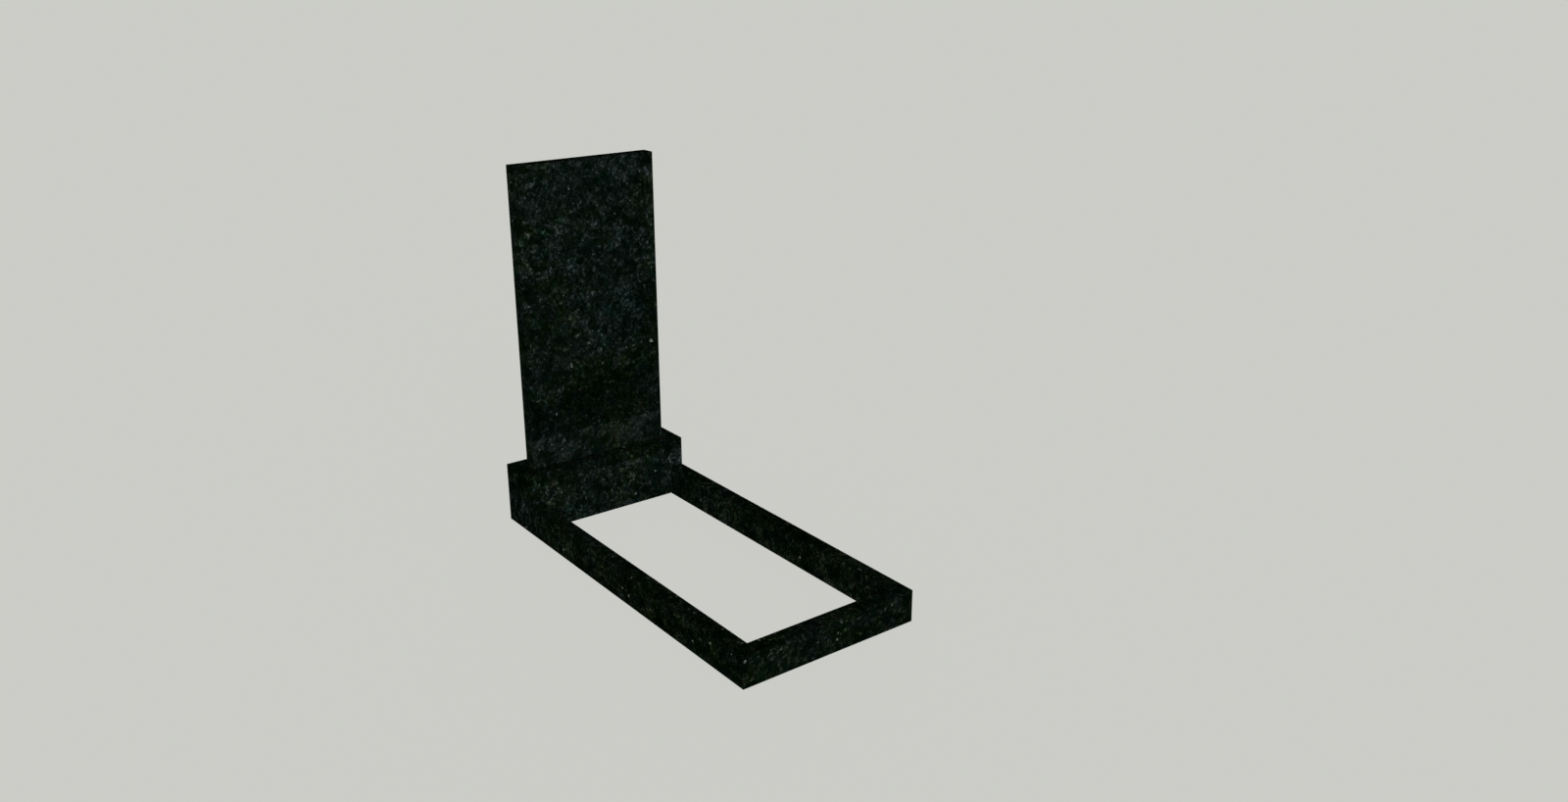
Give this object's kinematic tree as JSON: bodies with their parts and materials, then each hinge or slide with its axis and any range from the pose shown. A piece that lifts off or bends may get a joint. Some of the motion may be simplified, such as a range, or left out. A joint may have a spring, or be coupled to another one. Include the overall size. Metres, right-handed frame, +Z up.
{
  "type": "headstone",
  "caption": "Upright rectangular granite slab on a plinth, with a low open kerb frame in front that borders a planting bed.",
  "frame": {"origin": "on the ground, at the centre of the monument's overall length and width", "axes": "+Z up; +Y from the foot kerb to the back, where the slab stands; +X to the right for someone who faces the slab's front"},
  "size_m": [0.6, 1.35, 1.2003],
  "materials": {
    "slab_granite": "polished dark green-black granite with fine pale flecks",
    "plinth_granite": "polished dark green-black granite with fine pale flecks",
    "kerb_granite": "polished dark green-black granite with fine pale flecks"
  },
  "bodies": {
    "root": {"upright_slab": "slab_granite", "plinth": "plinth_granite", "left_kerb": "kerb_granite", "right_kerb": "kerb_granite", "foot_kerb": "kerb_granite"}
  },
  "joints": []
}
